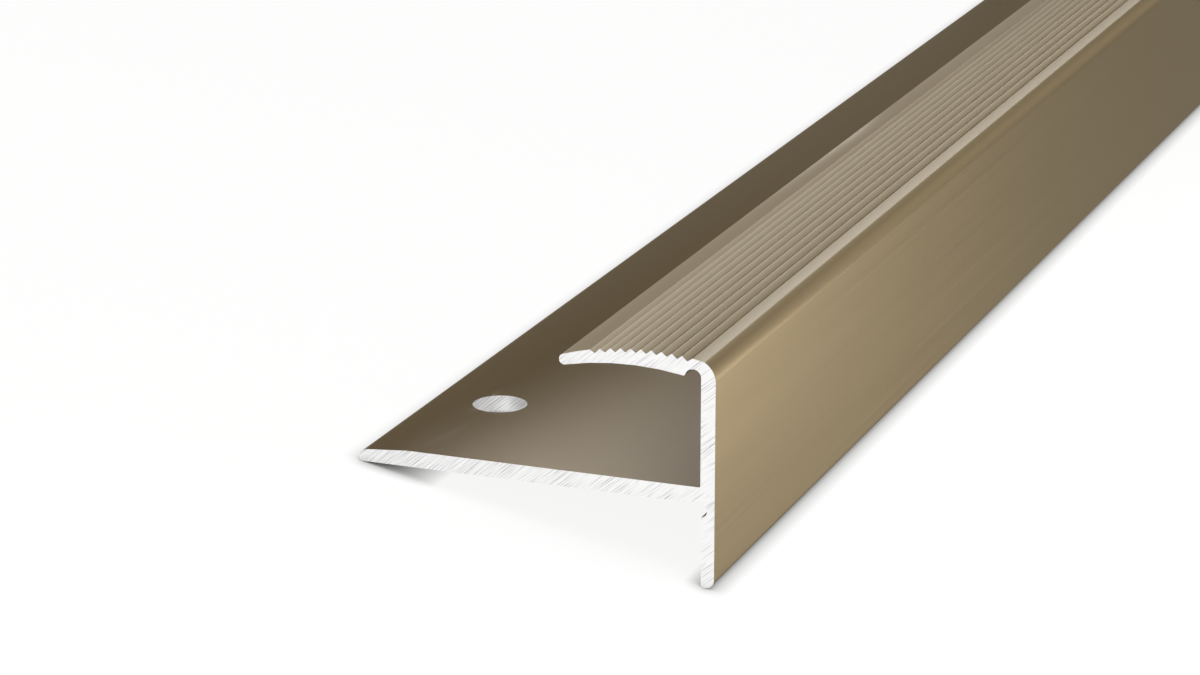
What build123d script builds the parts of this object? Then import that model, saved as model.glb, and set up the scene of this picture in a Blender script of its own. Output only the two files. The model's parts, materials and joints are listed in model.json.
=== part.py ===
from build123d import *
from math import asin, atan2, degrees, hypot, sqrt
import os

# Stair nosing for a floor covering: one aluminium extrusion, sawn to length.
# The base strip is screwed to the tread, the front plate stands on its front edge,
# the apron hangs down over the riser, and the ribbed cover reaches back over the covering.
# The section is drawn as fitted, in x and z, in millimetres:
# the front face is at x = 0, the rear is towards -x, and the top of the base is at z = 0.

# Stock length
length = 1000.0

# Base strip
base_depth = 40.0           # front face to rear edge
base_thickness = 1.75
taper_run = 5.5             # the top slopes down over this run to meet the covering's underlay
taper_drop = 0.45
rear_edge_radius = 0.95
die_radius = 0.15           # smallest corner the extrusion die leaves

# Front plate, standing on the base
plate_thickness = 1.58

# Apron, hanging below the base
apron_thickness = 1.45
apron_drop = 10.95          # top of the base to the foot
foot_outer_radius = 1.0
foot_inner_radius = 0.35

# Relief groove in the corner under the base, so that a sharp tread edge seats
relief_radius = 0.8
relief_offset = 0.15        # its centre lies this far behind the apron
relief_bite = 0.1           # it cuts this far into the base

# Cover: an arched lip between two arcs
slot_height = 12.38         # top of the base to the crest of the cover's underside
slot_arc_radius = 33.0
slot_crest_setback = 9.3    # front face to that crest
cover_thickness = 1.79      # crest of the underside to crest of the crown
cover_reach = 17.15         # front face to the cover's rear tip
crown_radius = 30.5
crown_setback = 7.4         # front face to the crown's crest
cover_tip_radius = 0.55

# Corner groove where the cover's underside meets the plate, with a nub behind it
corner_groove_radius = 0.88
corner_groove_rise = 0.27   # top of the groove above the crest of the underside
nub_radius = 0.2

# Nose: the outer top corner, with a flat land between it and the first rib
nose_radius = 2.35
nose_drop = 0.39            # top of the nose circle below the crown's crest
land_setback = 1.3          # front face to the land's front edge

# Ribs of the anti-slip tread, pressed into the crown as V grooves
groove_count = 10
groove_pitch = 1.122
groove_depth = 0.45
groove_setback = 3.1        # front face to the first groove

# Screw holes in the base
hole_count = 5
hole_diameter = 6.0
hole_edge_distance = 8.6    # rear edge of the base to the hole's centre
hole_end_distance = 18.3    # end of the length to the first hole's centre


def crown_height(x):
    """Height of the crown's arc at x, before the grooves are cut."""
    across = x + crown_setback
    return slot_height + cover_thickness - crown_radius + sqrt(crown_radius**2 - across**2)


def slot_roof(x):
    """Height of the arched underside of the cover at x."""
    across = x + slot_crest_setback
    return slot_height - slot_arc_radius + sqrt(slot_arc_radius**2 - across**2)


def arc_along(height, start, end):
    """The arc of a height function between two values of x."""
    middle = (start + end) / 2
    return ThreePointArc((start, height(start)), (middle, height(middle)), (end, height(end)))


# The ribbed top, from the rear to the front: groove bottoms alternate with rib crests
half_pitch = groove_pitch / 2
rib_start = -(groove_setback + (groove_count - 1) * groove_pitch + half_pitch)
ribs = [(rib_start, crown_height(rib_start))]
for groove in range(groove_count):
    bottom = rib_start + half_pitch + groove * groove_pitch
    crest = bottom + half_pitch
    ribs.append((bottom, crown_height(bottom) - groove_depth))
    ribs.append((crest, crown_height(crest)))

# The nose circle touches the front face at nose_start and meets the land at land_edge
nose_centre_z = slot_height + cover_thickness - nose_drop - nose_radius
nose_start = (0, nose_centre_z)
land_edge = (-land_setback, nose_centre_z + sqrt(nose_radius**2 - (nose_radius - land_setback) ** 2))

# The corner groove touches the plate's inner face
corner_groove_x = -(plate_thickness + corner_groove_radius)
corner_groove_z = slot_height + corner_groove_rise - corner_groove_radius
nub_x = corner_groove_x - corner_groove_radius

# Rounded corners of the section. The two corners of a wall's end share that wall.
tip_height = crown_height(-cover_reach) - slot_roof(-cover_reach)
tip_radius = min(cover_tip_radius, 0.48 * tip_height)
rear_radius = min(rear_edge_radius, 0.9 * (base_thickness - taper_drop - die_radius))
foot_radius = min(foot_outer_radius, 0.95 * (apron_thickness - foot_inner_radius))
rounded_corners = [
    ((-base_depth, -taper_drop), rear_radius),
    ((-base_depth, -base_thickness), die_radius),
    ((-plate_thickness, 0), die_radius),
    ((0, -apron_drop), foot_radius),
    ((-apron_thickness, -apron_drop), foot_inner_radius),
    ((-cover_reach, crown_height(-cover_reach)), tip_radius),
    ((-cover_reach, slot_roof(-cover_reach)), tip_radius),
    ((nub_x, slot_roof(nub_x)), nub_radius),
]

hole_x = hole_edge_distance - base_depth
hole_pitch = (length - 2 * hole_end_distance) / (hole_count - 1)

with BuildPart() as nosing:
    with BuildSketch(Plane.XZ) as section:
        with BuildLine():
            # Cover and nose, from the rear tip to the front face
            arc_along(crown_height, -cover_reach, rib_start)
            Polyline(*ribs, land_edge)
            TangentArc(nose_start, land_edge, tangent=(0, 1))
            # Front face, apron and base, then up the plate's inner face
            Polyline(
                nose_start,
                (0, -apron_drop),
                (-apron_thickness, -apron_drop),
                (-apron_thickness, -base_thickness),
                (-base_depth, -base_thickness),
                (-base_depth, -taper_drop),
                (taper_run - base_depth, 0),
                (-plate_thickness, 0),
                (-plate_thickness, slot_roof(-plate_thickness)),
            )
            # Underside of the cover, back to the rear tip
            arc_along(slot_roof, -plate_thickness, -cover_reach)
            Line((-cover_reach, slot_roof(-cover_reach)), (-cover_reach, crown_height(-cover_reach)))
        make_face()
        with Locations(
            (-apron_thickness - relief_offset, relief_bite - base_thickness - relief_radius)
        ):
            Circle(relief_radius, mode=Mode.SUBTRACT)
        with Locations((corner_groove_x, corner_groove_z)):
            Circle(corner_groove_radius, mode=Mode.SUBTRACT)
            Rectangle(
                2 * corner_groove_radius,
                2 * corner_groove_radius,
                align=(Align.CENTER, Align.MAX),
                mode=Mode.SUBTRACT,
            )
        for corner, radius in rounded_corners:
            fillet(section.vertices().sort_by_distance(corner)[0], radius)
    extrude(amount=length / 2, both=True)
    with Locations((hole_x, 0, 0)):
        with GridLocations(0, hole_pitch, 1, hole_count):
            Hole(hole_diameter / 2)

# Unheld on a level floor it rests on the base's rear edge and the apron's foot.
# The tilt is that of the line that touches both rounded corners from below.
run = (base_depth - die_radius) - (apron_thickness - foot_inner_radius)
fall = (apron_drop - foot_inner_radius) - (base_thickness - die_radius)
tilt = degrees(atan2(fall, run) + asin((foot_inner_radius - die_radius) / hypot(run, fall)))
tilted = Rot(0, -tilt, 0) * nosing.part
box = tilted.bounding_box()
resting = Pos(-box.center().X, -box.center().Y, -box.min.Z) * tilted
resting.label = "stair_nosing"

os.makedirs("parts", exist_ok=True)
export_step(resting, "parts/stair_nosing.step")
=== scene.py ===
import json
from math import acos, atan2, cos, pi, radians, sin, sqrt, tan

import bmesh
import bpy
import numpy as np
from mathutils import Matrix, Vector


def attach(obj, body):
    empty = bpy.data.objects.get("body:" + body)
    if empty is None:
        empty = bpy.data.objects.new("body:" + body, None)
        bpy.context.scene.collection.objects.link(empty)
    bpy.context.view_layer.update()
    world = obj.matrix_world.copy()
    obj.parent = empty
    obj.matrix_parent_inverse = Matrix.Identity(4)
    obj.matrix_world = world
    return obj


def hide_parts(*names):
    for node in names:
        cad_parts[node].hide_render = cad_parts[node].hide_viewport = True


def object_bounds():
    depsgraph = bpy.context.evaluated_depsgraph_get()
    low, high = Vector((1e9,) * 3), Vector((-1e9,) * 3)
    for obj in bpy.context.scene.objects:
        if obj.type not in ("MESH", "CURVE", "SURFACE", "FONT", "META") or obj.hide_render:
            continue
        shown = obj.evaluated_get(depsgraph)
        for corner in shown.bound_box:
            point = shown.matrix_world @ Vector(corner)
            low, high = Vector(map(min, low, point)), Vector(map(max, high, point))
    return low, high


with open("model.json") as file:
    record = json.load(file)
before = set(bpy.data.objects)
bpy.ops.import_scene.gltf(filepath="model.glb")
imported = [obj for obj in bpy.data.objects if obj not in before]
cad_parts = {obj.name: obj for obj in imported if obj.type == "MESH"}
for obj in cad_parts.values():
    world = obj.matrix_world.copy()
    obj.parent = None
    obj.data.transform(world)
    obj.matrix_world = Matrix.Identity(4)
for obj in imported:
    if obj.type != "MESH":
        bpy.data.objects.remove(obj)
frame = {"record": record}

cad_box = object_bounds()
mounts = {mount["name"]: mount for mount in frame["record"]["mounts"]}

# Section of the extrusion
# Hot aluminium is pressed through a die, so base strip, front plate, apron and ribbed cover are one wall
# of metal. The section is drawn as it is fitted: the front face at x = 0, the rear towards -x,
# and the top of the base at z = 0. Points run so that the metal is on their left.
MM = 0.001

base_depth = 40.0 * MM
base_thickness = 1.75 * MM
taper_run = 5.5 * MM
taper_drop = 0.45 * MM
rear_edge_radius = 0.95 * MM
die_radius = 0.15 * MM

plate_thickness = 1.58 * MM
apron_thickness = 1.45 * MM
apron_drop = 10.95 * MM
foot_outer_radius = 1.0 * MM
foot_inner_radius = 0.35 * MM

relief_radius = 0.8 * MM
relief_offset = 0.15 * MM
relief_bite = 0.1 * MM

slot_height = 12.38 * MM
slot_arc_radius = 33.0 * MM
slot_crest_setback = 9.3 * MM
cover_thickness = 1.79 * MM
cover_reach = 17.15 * MM
crown_radius = 30.5 * MM
crown_setback = 7.4 * MM
cover_tip_radius = 0.55 * MM

corner_groove_radius = 0.88 * MM
corner_groove_rise = 0.27 * MM
nub_radius = 0.2 * MM

nose_radius = 2.35 * MM
nose_drop = 0.39 * MM
land_setback = 1.3 * MM

groove_count = 10
groove_pitch = 1.122 * MM
groove_depth = 0.45 * MM
groove_setback = 3.1 * MM
rib_edge_radius = 0.1 * MM

hole_edge_distance = 8.6 * MM
arc_step = radians(5)


def bearing(centre, point):
    """Angle of the line from a centre to a point."""
    return atan2(point[1] - centre[1], point[0] - centre[0])


def arc(centre, radius, start, end):
    """Points on a circle, centre + radius * (cos angle, sin angle), in even steps of angle."""
    count = max(2, int(np.ceil(abs(end - start) / arc_step)) + 1)
    angle = np.linspace(start, end, count)
    return np.asarray(centre) + radius * np.column_stack((np.cos(angle), np.sin(angle)))


def rounded(points, radii):
    """Straight lines with their inner corners rounded. Each corner gives way to the arc that touches
    both lines: its centre lies radius / sin(half the corner's angle) along the bisector."""
    points = np.asarray(points)
    runs = [points[:1]]
    for before, corner, after, radius in zip(points, points[1:], points[2:], radii):
        back = (before - corner) / np.linalg.norm(before - corner)
        ahead = (after - corner) / np.linalg.norm(after - corner)
        half = acos(back @ ahead) / 2
        bisector = (back + ahead) / np.linalg.norm(back + ahead)
        centre = corner + bisector * radius / sin(half)
        start = bearing(centre, corner + back * radius / tan(half))
        turn = bearing(centre, corner + ahead * radius / tan(half)) - start
        runs.append(arc(centre, radius, start, start + (turn + pi) % (2 * pi) - pi))
    return np.concatenate(runs + [points[-1:]])


def circles_meet(first, first_radius, second, second_radius):
    """The point at two given distances from two centres, on the left of the line from first to second."""
    line = np.subtract(second, first)
    gap = np.linalg.norm(line)
    along = (gap**2 + first_radius**2 - second_radius**2) / (2 * gap)
    aside = sqrt(first_radius**2 - along**2)
    return first + (along * line + aside * np.array((-line[1], line[0]))) / gap


crown_centre = np.array((-crown_setback, slot_height + cover_thickness - crown_radius))
slot_centre = np.array((-slot_crest_setback, slot_height - slot_arc_radius))
nose_centre = np.array((-nose_radius, slot_height + cover_thickness - nose_drop - nose_radius))
groove_centre = np.array(
    (-plate_thickness - corner_groove_radius, slot_height + corner_groove_rise - corner_groove_radius)
)
relief_centre = np.array((-apron_thickness - relief_offset, relief_bite - base_thickness - relief_radius))

# Nose arc, then the ribs from front to rear: crests on the crown's arc, grooves cut below it
nose = arc(nose_centre, nose_radius, 0, acos(1 - land_setback / nose_radius))
rib_step = np.arange(2 * groove_count + 1)
rib_x = groove_pitch / 2 * (1 - rib_step) - groove_setback
rib_z = crown_centre[1] + np.sqrt(crown_radius**2 - (rib_x - crown_centre[0]) ** 2)
rib_z = rib_z - groove_depth * (rib_step % 2)
ribs = np.column_stack((rib_x, rib_z))
ribbed_top = rounded(np.concatenate((nose[-1:], ribs)), [rib_edge_radius] * (2 * groove_count))

# The cover's rear tip: one arc inside the crown's circle, one outside the slot's circle
tip_x = cover_tip_radius - cover_reach
tip_top = (
    tip_x,
    crown_centre[1] + sqrt((crown_radius - cover_tip_radius) ** 2 - (tip_x - crown_centre[0]) ** 2),
)
tip_under = (
    tip_x,
    slot_centre[1] + sqrt((slot_arc_radius + cover_tip_radius) ** 2 - (tip_x - slot_centre[0]) ** 2),
)
rear_land = arc(crown_centre, crown_radius, bearing(crown_centre, ribs[-1]), bearing(crown_centre, tip_top))
tip = np.concatenate(
    (
        arc(tip_top, cover_tip_radius, bearing(crown_centre, tip_top), pi),
        arc(tip_under, cover_tip_radius, pi, pi + bearing(slot_centre, tip_under)),
    )
)

# Arched underside, the nub at its front end, and the groove in the corner beside the plate
nub_centre = circles_meet(
    slot_centre, slot_arc_radius + nub_radius, groove_centre, corner_groove_radius + nub_radius
)
slot_roof = arc(
    slot_centre, slot_arc_radius, bearing(slot_centre, tip_under), bearing(slot_centre, nub_centre)
)
nub = arc(
    nub_centre, nub_radius, bearing(nub_centre, slot_centre), bearing(nub_centre, groove_centre)
)
corner_groove = arc(groove_centre, corner_groove_radius, bearing(groove_centre, nub_centre), 0)

# The strip of the base that holds the screw holes is left open here, between the front and rear runs
hole_x = hole_edge_distance - base_depth
band_half = hole_edge_distance - taper_run
inner_corner = rounded(
    [corner_groove[-1], (-plate_thickness, 0), (hole_x + band_half, 0)], [die_radius]
)
relief_start = pi - acos(sqrt(1 - (1 - relief_bite / relief_radius) ** 2))
relief_end = -acos(relief_offset / relief_radius)
relief = arc(relief_centre, relief_radius, relief_start, relief_end)
apron = rounded(
    [relief[-1], (-apron_thickness, -apron_drop), (0, -apron_drop), nose[0]],
    [foot_inner_radius, foot_outer_radius],
)
front_run = np.concatenate(
    (
        [(hole_x + band_half, -base_thickness)],
        relief,
        apron[1:-1],
        nose,
        ribbed_top[1:-1],
        rear_land,
        tip[1:],
        slot_roof[1:],
        nub[1:],
        corner_groove[1:],
        inner_corner[1:],
    )
)
rear_run = rounded(
    [
        (hole_x - band_half, 0),
        (-base_depth, -taper_drop),
        (-base_depth, -base_thickness),
        (hole_x - band_half, -base_thickness),
    ],
    [rear_edge_radius, die_radius],
)

# Nosing
# One sold length of that section, cut off with a circular saw, with plain round screw holes drilled
# through the base. It lies unheld on the base's rear edge and the apron's foot, which tilts the section.
near_end, far_end = cad_box[0][1], cad_box[1][1]
screw_holes = [mount for mount in mounts.values() if mount["kind"] == "bore"]
hole_places = sorted(mount["pos_m"][1] for mount in screw_holes)
hole_radius = screw_holes[0]["dims"]["r_mm"] * MM
tilt = atan2(mounts["tread_seat"]["axis"][0], -mounts["tread_seat"]["axis"][2])
ray_step = radians(6)
flat_share = 0.6
merge_gap = 0.001 * MM
sharp_angle = radians(10)
tiny = 1e-9
tiny_places = 9


def hole_cell(place, low, high):
    """The hole's rim and the edge of the strip of base around it, as offsets from the hole's centre.
    Rays leave the centre at even angles and at the strip's corners, and stop where they leave the strip."""
    corners = [atan2(y - place, x) for x in (-band_half, band_half) for y in (low, high)]
    ray = np.sort(np.concatenate((np.arange(0, 2 * pi, ray_step), np.mod(corners, 2 * pi))))
    way = np.column_stack((np.cos(ray), np.sin(ray)))
    room = np.where(way[:, 1] > 0, high - place, place - low)
    sides = np.column_stack((np.full(len(ray), band_half), room))
    reach = np.min(sides / np.maximum(np.abs(way), tiny), axis=1)
    return hole_radius * way, np.clip(reach[:, None] * way, -sides, sides)


def grid(rows, columns, first, joined=False):
    """Quads of a grid of vertices that starts at a given index; joined closes its columns into a ring."""
    index = first + np.arange(rows * columns).reshape(rows, columns)
    if joined:
        index = np.column_stack((index, index[:, 0]))
    corners = (index[:-1, :-1], index[:-1, 1:], index[1:, 1:], index[1:, :-1])
    return np.stack(corners, axis=-1).reshape(-1, 4)


vertices = []
faces = []
bare_faces = []


def placed(points):
    """Adds vertices to the mesh's list and returns the index of the first."""
    first = sum(len(block) for block in vertices)
    vertices.append(points)
    return first


# Strips of base round the holes, on top and underneath, and the hole walls between them. On top, a ring
# part of the way out keeps the base flat near the hole, so the taper's bend is shaded only beyond it.
wall_row = 2
cell_edges = np.concatenate(([near_end], np.add(hole_places[:-1], hole_places[1:]) / 2, [far_end]))
stations = []
end_rims = []
for place, low, high in zip(hole_places, cell_edges[:-1], cell_edges[1:]):
    rim, edge = hole_cell(place, low, high)
    stations.append(place + edge[np.abs(edge[:, 0]) > band_half - tiny, 1])
    end_rims.append(edge + (0, place))
    flat = rim + flat_share * (edge - rim)
    top_and_under = ((edge, 0), (flat, 0), (rim, 0), (rim, -base_thickness), (edge, -base_thickness))
    rings = [
        np.column_stack((ring + (hole_x, place), np.full(len(ring), height)))
        for ring, height in top_and_under
    ]
    first = placed(np.concatenate(rings))
    quads = grid(len(rings), len(rim), first, joined=True)
    wall = slice(wall_row * len(rim), (wall_row + 1) * len(rim))
    bare_faces += quads[wall].tolist()
    faces += np.delete(quads, wall, axis=0).tolist()
stations = np.unique(np.round(np.concatenate(stations), tiny_places))

# Front and rear runs of the section, carried along the length
for run in (front_run, rear_run):
    across, along = np.meshgrid(np.arange(len(run)), stations, indexing="ij")
    swept = np.stack((run[across, 0], along, run[across, 1]), axis=-1).reshape(-1, 3)
    faces += grid(len(run), len(stations), placed(swept)).tolist()

# Sawn ends: the whole outline, with the points that the strips round the end holes have on it
for end, rim in ((near_end, end_rims[0]), (far_end, end_rims[-1])):
    on_end = np.sort(rim[np.abs(rim[:, 1] - end) < tiny, 0])[1:-1] + hole_x
    above = np.column_stack((on_end[::-1], np.zeros(len(on_end))))
    below = np.column_stack((on_end, np.full(len(on_end), -base_thickness)))
    outline = np.concatenate((front_run, above, rear_run, below))
    first = placed(np.column_stack((outline[:, 0], np.full(len(outline), end), outline[:, 1])))
    bare_faces.append(list(range(first, first + len(outline))))

# From the fitted position to rest: turned about the length, then set down in the CAD box
points = np.concatenate(vertices)
turned = np.column_stack(
    (
        points[:, 0] * cos(tilt) - points[:, 2] * sin(tilt),
        points[:, 1],
        points[:, 0] * sin(tilt) + points[:, 2] * cos(tilt),
    )
)
set_down = np.array(
    (
        (cad_box[0][0] + cad_box[1][0] - turned[:, 0].min() - turned[:, 0].max()) / 2,
        0,
        cad_box[0][2] - turned[:, 2].min(),
    )
)
mesh = bpy.data.meshes.new("nosing")
mesh.from_pydata((turned + set_down).tolist(), [], faces + bare_faces)
mesh.polygons.foreach_set("material_index", [0] * len(faces) + [1] * len(bare_faces))

# Painted highlight and wear on the tread: paler colour, full at the front land's front edge, less on the
# ribs and the rear land, least in the grooves, which read as painted shade, and none elsewhere. The depths
# below the crown are in depths of a groove.
rear_highlight_and_wear = 0.6
rib_highlight_and_wear = 0.85
land_highlight_and_wear = 0.7
groove_highlight_and_wear = 0.25
highlight_depths = (-0.02, -0.01, 1, 1.1)
highlight_places = (ribs[-1, 0], ribs[-3, 0], ribs[2, 0], ribs[0, 0], -land_setback)
under_crown = crown_radius - np.hypot(*(points[:, ::2] - crown_centre).T)
highlight_and_wear = np.interp(under_crown / groove_depth, highlight_depths, (0, 1, groove_highlight_and_wear, 0))
highlight_and_wear *= np.interp(points[:, 0], highlight_places, (rear_highlight_and_wear, rib_highlight_and_wear, rib_highlight_and_wear, land_highlight_and_wear, 1))
highlight_and_wear[points[:, 0] > merge_gap - land_setback] = 0
# The painted highlight and wear is kept as a point attribute for the material to read.
mesh.attributes.new("wear", "FLOAT", "POINT").data.foreach_set("value", highlight_and_wear.astype(np.float32))

shell = bmesh.new()
shell.from_mesh(mesh)
bmesh.ops.remove_doubles(shell, verts=shell.verts, dist=merge_gap)
bmesh.ops.recalc_face_normals(shell, faces=shell.faces)
shell.to_mesh(mesh)
shell.free()
mesh.shade_smooth()
mesh.set_sharp_from_angle(angle=sharp_angle)
nosing = bpy.data.objects.new("nosing", mesh)
bpy.context.collection.objects.link(nosing)


def linear(hex_colour):
    """An sRGB hex colour as linear red, green, blue and alpha: dark values are divided by 12.92,
    and the rest are shifted by 0.055, scaled back to 1 and raised to the power 2.4."""
    srgb = np.array([int(hex_colour[i:i + 2], 16) for i in (1, 3, 5)]) / 255
    return (*np.where(srgb <= 0.04045, srgb / 12.92, ((srgb + 0.055) / 1.055) ** 2.4), 1.0)


def add(tree, kind, settings={}, inputs={}):
    """Adds a shader node, sets its attributes, and gives its inputs a value or a link."""
    made = tree.nodes.new("ShaderNode" + kind)
    for name, value in settings.items():
        setattr(made, name, value)
    for name, value in inputs.items():
        if isinstance(value, bpy.types.NodeSocket):
            tree.links.new(value, made.inputs[name])
        else:
            made.inputs[name].default_value = value
    return made


# Bronze anodised aluminium: etched satin, then dyed and sealed. The eye sees a soft brown sheen with no
# sharp reflections, and faint lines along the length where the die dragged. The front land, crests and rear
# land are painted paler as highlight and wear, least in the grooves, which read as painted shade, and their
# tint at low angles is painted whiter too. The dyed film takes more of the light that crosses it at a
# slant, so low angles stay brown.
die_line = np.array((0.35, 90.0, 0.35)) * MM
die_line_height = 0.002 * MM
die_line_strength = 0.5
satin_low = 0.37
satin_high = 0.43
anodised = bpy.data.materials.new("bronze_anodised_aluminium")
anodised.use_nodes = True
tree = anodised.node_tree
shader = tree.nodes["Principled BSDF"]
coords = add(tree, "TexCoord")
drawn = add(
    tree,
    "Mapping",
    {"vector_type": "TEXTURE"},
    {"Vector": coords.outputs["Object"], "Scale": die_line.tolist()},
)
lines = add(tree, "TexNoise", {}, {"Vector": drawn.outputs["Vector"], "Scale": 1.0, "Detail": 2.0})
# The attribute of painted highlight and wear: paler colour on the lands and crests, less in the grooves.
wear = add(tree, "Attribute", {"attribute_name": "wear"})
film = add(
    tree,
    "Mix",
    {"data_type": "RGBA"},
    {0: lines.outputs["Fac"], 6: linear("#88795F"), 7: linear("#908167")},
)
film_with_highlight = add(
    tree,
    "Mix",
    {"data_type": "RGBA"},
    {0: wear.outputs["Fac"], 6: film.outputs[2], 7: linear("#B4AB9B")},
)
# The tint at low angles is painted whiter on the same lands and crests.
low_angle = add(
    tree,
    "Mix",
    {"data_type": "RGBA"},
    {0: wear.outputs["Fac"], 6: linear("#B6B5B0"), 7: linear("#E7E1D3")},
)
satin = add(
    tree, "MapRange", {}, {"Value": lines.outputs["Fac"], "To Min": satin_low, "To Max": satin_high}
)
drag_marks = add(
    tree,
    "Bump",
    {},
    {"Height": lines.outputs["Fac"], "Distance": die_line_height, "Strength": die_line_strength},
)
tree.links.new(film_with_highlight.outputs[2], shader.inputs["Base Color"])
tree.links.new(satin.outputs[0], shader.inputs["Roughness"])
tree.links.new(drag_marks.outputs[0], shader.inputs["Normal"])
tree.links.new(low_angle.outputs[2], shader.inputs["Specular Tint"])
shader.inputs["Metallic"].default_value = 1.0
nosing.data.materials.append(anodised)

# Bare sawn aluminium: the saw's teeth leave bright metal with fine slanting scratches, closer and darker at
# the rear where they enter. Real scratches are finer; these are as fine as a picture can show.
scratch = np.array((4.0, 4.0, 0.075)) * MM
scratch_slope = radians(40) + tilt
scratch_darkest = 0.3
clean_at_rear = 0.56
clean_at_front = 0.44
bare = bpy.data.materials.new("bare_sawn_aluminium")
bare.use_nodes = True
tree = bare.node_tree
shader = tree.nodes["Principled BSDF"]
coords = add(tree, "TexCoord")
sawn = add(
    tree,
    "Mapping",
    {"vector_type": "TEXTURE"},
    {"Vector": coords.outputs["Object"], "Rotation": (0, -scratch_slope, 0), "Scale": scratch.tolist()},
)
scratches = add(tree, "TexNoise", {}, {"Vector": sawn.outputs["Vector"], "Scale": 1.0, "Detail": 2.0})
where = add(tree, "SeparateXYZ", {}, {"Vector": coords.outputs["Object"]})
entry = add(
    tree,
    "MapRange",
    {},
    {
        "Value": where.outputs["X"],
        "From Min": cad_box[0][0],
        "From Max": cad_box[1][0],
        "To Min": clean_at_rear,
        "To Max": clean_at_front,
    },
)
clean = add(
    tree,
    "MapRange",
    {},
    {"Value": scratches.outputs["Fac"], "From Min": scratch_darkest, "From Max": entry.outputs[0]},
)
metal = add(
    tree,
    "Mix",
    {"data_type": "RGBA"},
    {0: clean.outputs[0], 6: linear("#B4B5B7"), 7: linear("#F4F4F4")},
)
tree.links.new(metal.outputs[2], shader.inputs["Base Color"])
shader.inputs["Metallic"].default_value = 1.0
shader.inputs["Roughness"].default_value = 0.5
nosing.data.materials.append(bare)

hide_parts("stair_nosing")
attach(nosing, "root")

# Floor
# A plain white studio floor, which takes the nosing's soft shadow. To the camera and in the metal it glows
# most of the way to white, as a lit sweep does, and its glow is darkened by a painted contact shade, from
# ambient occlusion, in the last millimetres under the nosing.
floor_half = 4.0
glow_share = 0.9
contact_shade_reach = 2.0 * MM
corner = np.array(((-1, -1), (1, -1), (1, 1), (-1, 1))) * floor_half
floor_mesh = bpy.data.meshes.new("floor")
floor_mesh.from_pydata(np.column_stack((corner, np.zeros(4))).tolist(), [], [(0, 1, 2, 3)])
floor = bpy.data.objects.new("floor", floor_mesh)
bpy.context.collection.objects.link(floor)
white = bpy.data.materials.new("white_floor")
white.use_nodes = True
tree = white.node_tree
tree.nodes.clear()
ray = add(tree, "LightPath")
seen = add(
    tree, "Math", {"operation": "ADD"}, {0: ray.outputs["Is Camera Ray"], 1: ray.outputs["Is Glossy Ray"]}
)
seen = add(tree, "Math", {"operation": "ADD"}, {0: seen.outputs[0], 1: ray.outputs["Is Transmission Ray"]})
share = add(tree, "Math", {"operation": "MULTIPLY"}, {0: seen.outputs[0], 1: glow_share})
paint = add(tree, "BsdfDiffuse", {}, {"Color": linear("#E6E6E6")})
# Painted contact shade: the glow fades where the nosing lies within reach above the floor.
contact_shade = add(tree, "AmbientOcclusion", {}, {"Distance": contact_shade_reach})
glow = add(tree, "Emission", {}, {"Color": linear("#FFFFFF"), "Strength": contact_shade.outputs["AO"]})
surface = add(tree, "MixShader", {}, {0: share.outputs[0], 1: paint.outputs[0], 2: glow.outputs[0]})
add(tree, "OutputMaterial", {}, {"Surface": surface.outputs[0]})
floor_mesh.materials.append(white)

# Light
# Studio light: a dim surround and soft boxes, sized and placed in metres, with their power in watts.
# Three stand behind, one is overhead, one fills the front, one is for the front plate and a low one
# skims the base from the left rear. The last is a thin beam from behind into the slot, not a soft light.
surround = 0.24
slot_beam = radians(2.2)
world = bpy.data.worlds.new("studio")
world.use_nodes = True
world.node_tree.nodes["Background"].inputs["Color"].default_value = linear("#FFF3E2")
world.node_tree.nodes["Background"].inputs["Strength"].default_value = surround
bpy.context.scene.world = world


def soft_box(name, place, aim, size, power, colour="#FFFFFF", spread=pi):
    """A rectangular lamp, its face turned from its place towards its aim. The camera does not see it."""
    lamp = bpy.data.lights.new(name, "AREA")
    lamp.shape = "RECTANGLE"
    lamp.size, lamp.size_y = size
    lamp.energy = power
    lamp.color = linear(colour)[:3]
    lamp.spread = spread
    box = bpy.data.objects.new(name, lamp)
    box.location = place
    box.rotation_euler = (Vector(aim) - Vector(place)).to_track_quat("-Z", "Y").to_euler()
    box.visible_camera = False
    bpy.context.collection.objects.link(box)


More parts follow.
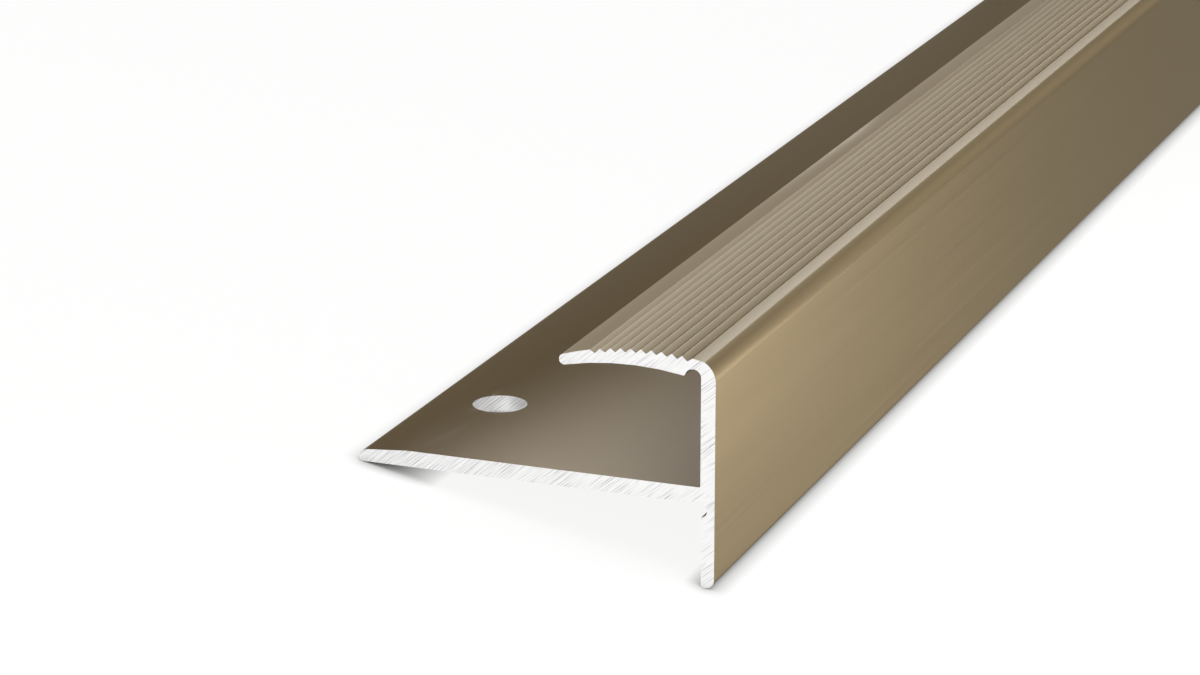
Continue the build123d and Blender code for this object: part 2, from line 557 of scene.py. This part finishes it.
soft_box("key", (0.12, -0.6, 0.6), (0, -0.47, 0), (0.5, 0.5), 4.0)
soft_box("front_fill", (-0.15, -1.1, 0.25), (0, -0.5, 0.01), (0.4, 0.3), 1.9)
soft_box("plate_strip", (0.16, -0.42, 0.037), (0, -0.45, 0.012), (0.15, 0.046), 0.32)
soft_box("back_right", (0.45, 1.1, 0.34), (0, -0.4, 0.01), (0.7, 0.6), 1.95)
soft_box("back", (0.12, 1.1, 0.85), (0, -0.4, 0.01), (0.4, 0.25), 1.0, "#F2F7FF")
soft_box("back_left", (-0.29, 0.97, 0.79), (0, -0.4, 0.01), (0.4, 0.25), 1.9, "#F2F7FF")
soft_box("low_left", (-0.68, 0.85, 0.06), (0, -0.2, 0.01), (0.6, 0.1), 0.5, "#FFF6EA")
soft_box(
    "slot", (-0.158, -0.131, 0.0268), (0.012, -0.493, 0.0098), (0.06, 0.003), 0.0003, "#E2E8FF", slot_beam
)

# Camera
# The photograph's viewpoint, found from its vanishing points in the section's own axes and carried to rest
# with the nosing: distances from the near end's top front edge of the base, and the view's two angles.
view_place = np.array((127.0, -362.4, 134.1)) * MM
view_azimuth = radians(21.07)
view_elevation = radians(17.06)
focal_pixels = 3958.9
picture_width = 1200
sensor_width = 36.0
nearest_seen = 10.0 * MM
across = np.array((cos(view_azimuth), sin(view_azimuth), 0))
ahead = np.array(
    (
        -sin(view_azimuth) * cos(view_elevation),
        cos(view_azimuth) * cos(view_elevation),
        -sin(view_elevation),
    )
)
rest_turn = np.array(((cos(tilt), 0, -sin(tilt)), (0, 1, 0), (sin(tilt), 0, cos(tilt))))
axes = rest_turn @ np.column_stack((across, np.cross(across, ahead), -ahead))
place = rest_turn @ view_place + set_down + (0, near_end, 0)
camera = bpy.data.objects.new("camera", bpy.data.cameras.new("camera"))
camera.data.sensor_width = sensor_width
camera.data.lens = focal_pixels / picture_width * sensor_width
camera.data.clip_start = nearest_seen
camera.matrix_world = Matrix(np.vstack((np.column_stack((axes, place)), (0, 0, 0, 1))).tolist())
bpy.context.collection.objects.link(camera)
bpy.context.scene.camera = camera
bpy.context.scene.view_settings.view_transform = "Standard"
